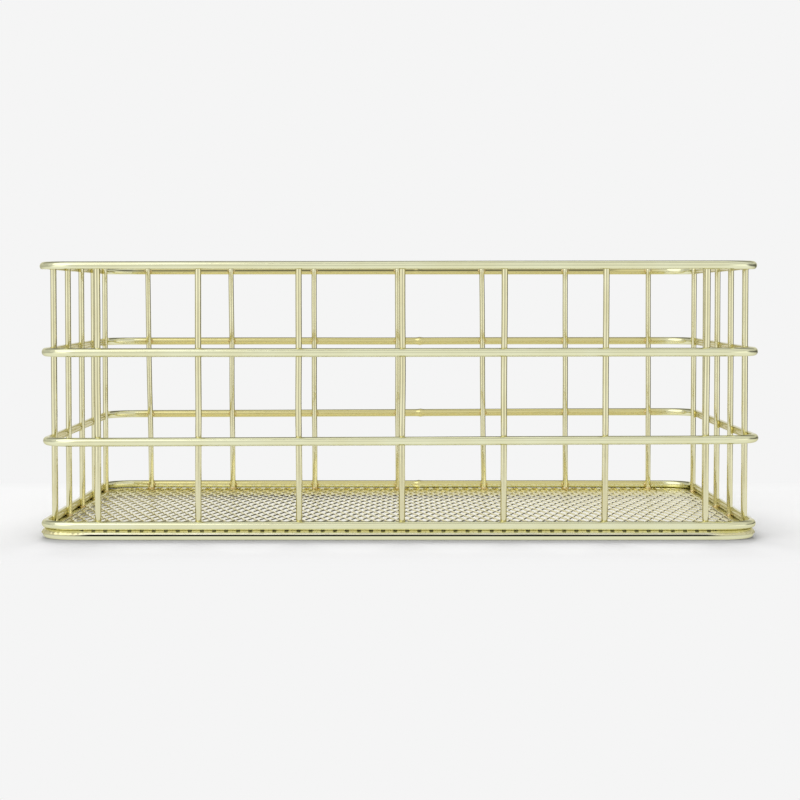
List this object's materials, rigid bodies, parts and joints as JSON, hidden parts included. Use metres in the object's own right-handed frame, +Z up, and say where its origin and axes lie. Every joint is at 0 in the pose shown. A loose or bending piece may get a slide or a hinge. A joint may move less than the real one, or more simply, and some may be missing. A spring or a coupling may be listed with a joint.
{
  "type": "storage basket",
  "caption": "Open-topped wire basket with rounded corners: closed wire rings outside welded uprights, over a fine expanded-mesh floor.",
  "frame": {"origin": "on the ground under the middle of the basket", "axes": "+X along the long side, +Y from the front wall to the back wall, +Z up through the open top"},
  "size_m": [0.2594, 0.1866, 0.0992],
  "materials": {
    "ring_wire": "bright pale-gold plating on steel wire",
    "upright_wire": "bright pale-gold plating on steel wire",
    "floor_mesh": "pale-gold plating on expanded steel mesh"
  },
  "bodies": {
    "root": {"rim_ring": "ring_wire", "upper_ring": "ring_wire", "lower_ring": "ring_wire", "base_ring": "ring_wire", "foot_ring": "ring_wire", "mesh_floor": "floor_mesh", "floor_hem": "floor_mesh", "front_upright_1": "upright_wire", "front_upright_2": "upright_wire", "front_upright_3": "upright_wire", "front_upright_4": "upright_wire", "front_upright_5": "upright_wire", "front_upright_6": "upright_wire", "front_upright_7": "upright_wire", "back_upright_1": "upright_wire", "back_upright_2": "upright_wire", "back_upright_3": "upright_wire", "back_upright_4": "upright_wire", "back_upright_5": "upright_wire", "back_upright_6": "upright_wire", "back_upright_7": "upright_wire", "left_upright_1": "upright_wire", "left_upright_2": "upright_wire", "left_upright_3": "upright_wire", "left_upright_4": "upright_wire", "left_upright_5": "upright_wire", "right_upright_1": "upright_wire", "right_upright_2": "upright_wire", "right_upright_3": "upright_wire", "right_upright_4": "upright_wire", "right_upright_5": "upright_wire"}
  },
  "joints": []
}
